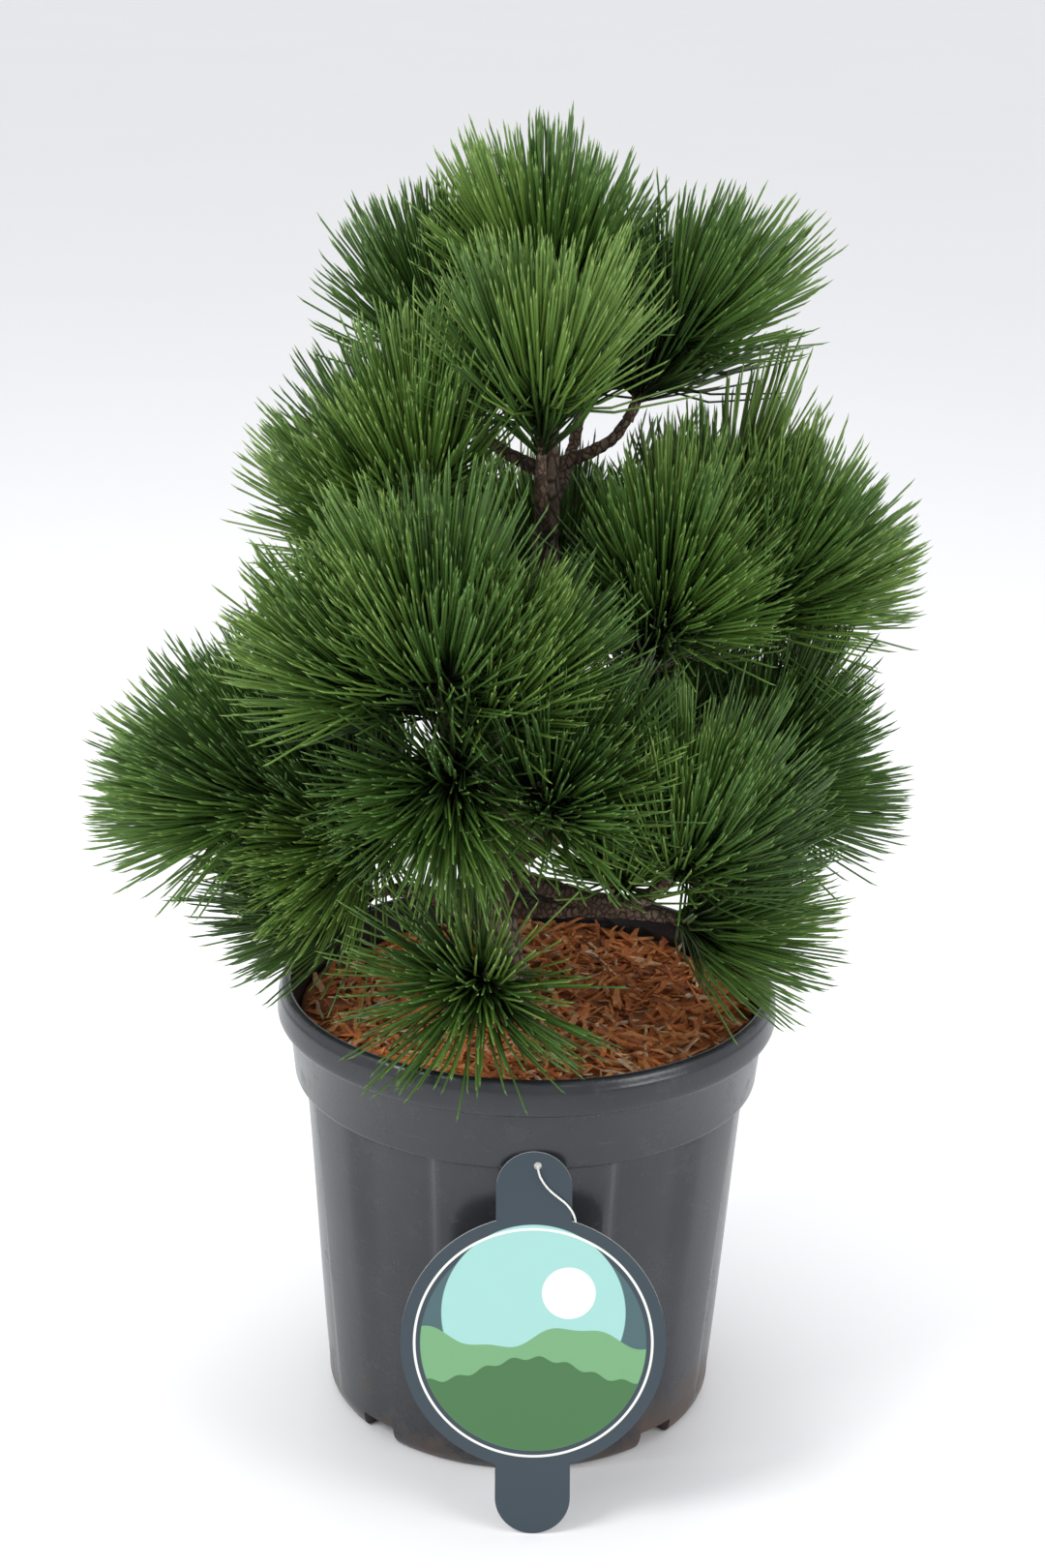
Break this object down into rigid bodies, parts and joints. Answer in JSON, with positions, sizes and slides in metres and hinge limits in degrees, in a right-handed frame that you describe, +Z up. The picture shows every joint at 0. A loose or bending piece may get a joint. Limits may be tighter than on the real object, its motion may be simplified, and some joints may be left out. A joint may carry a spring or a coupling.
{
  "type": "potted bosnian pine",
  "caption": "Young Bosnian pine with many long-needled heads in a dark plastic nursery pot, with bark mulch and a hang card.",
  "frame": {"origin": "middle of the pot's flat underside", "axes": "+Z up along the pot's axis and the tree, -Y towards the front, where the card leans"},
  "size_m": [0.4569, 0.3871, 0.7677],
  "materials": {
    "pot_plastic": "satin, scuffed",
    "bark_mulch": "matte, shredded",
    "bark": "rough bark",
    "twig_bark": "scaly bark",
    "needles": "satin needles",
    "card": "coated print",
    "string": "matte thread"
  },
  "bodies": {
    "root": {"bough_back": "twig_bark", "bough_back_low": "twig_bark", "bough_back_low_left": "twig_bark", "bough_back_low_right": "twig_bark", "bough_crown_back": "twig_bark", "bough_crown_front": "twig_bark", "bough_crown_left": "twig_bark", "bough_crown_right": "twig_bark", "bough_front": "twig_bark", "bough_front_bottom": "twig_bark", "bough_left_bottom": "twig_bark", "bough_left_low": "twig_bark", "bough_left_upper": "twig_bark", "bough_middle": "twig_bark", "bough_right_bottom": "twig_bark", "bough_right_low": "twig_bark", "bough_right_low_side": "twig_bark", "bough_right_side": "twig_bark", "card_string": "string", "hang_card": "card", "mulch": "bark_mulch", "needles_back": "needles", "needles_back_left": "needles", "needles_back_low": "needles", "needles_back_low_left": "needles", "needles_back_low_right": "needles", "needles_back_right": "needles", "needles_crown_back": "needles", "needles_crown_front": "needles", "needles_crown_left": "needles", "needles_crown_right": "needles", "needles_front": "needles", "needles_front_bottom": "needles", "needles_front_left": "needles", "needles_front_low": "needles", "needles_front_right": "needles", "needles_leader": "needles", "needles_left_bottom": "needles", "needles_left_low": "needles", "needles_left_low_front": "needles", "needles_left_low_top": "needles", "needles_left_side": "needles", "needles_left_upper": "needles", "needles_middle": "needles", "needles_right_back": "needles", "needles_right_bottom": "needles", "needles_right_front": "needles", "needles_right_low": "needles", "needles_right_low_front": "needles", "needles_right_low_side": "needles", "needles_right_side": "needles", "pot": "pot_plastic", "string_knot": "string", "string_stop": "string", "trunk": "bark"}
  },
  "joints": []
}
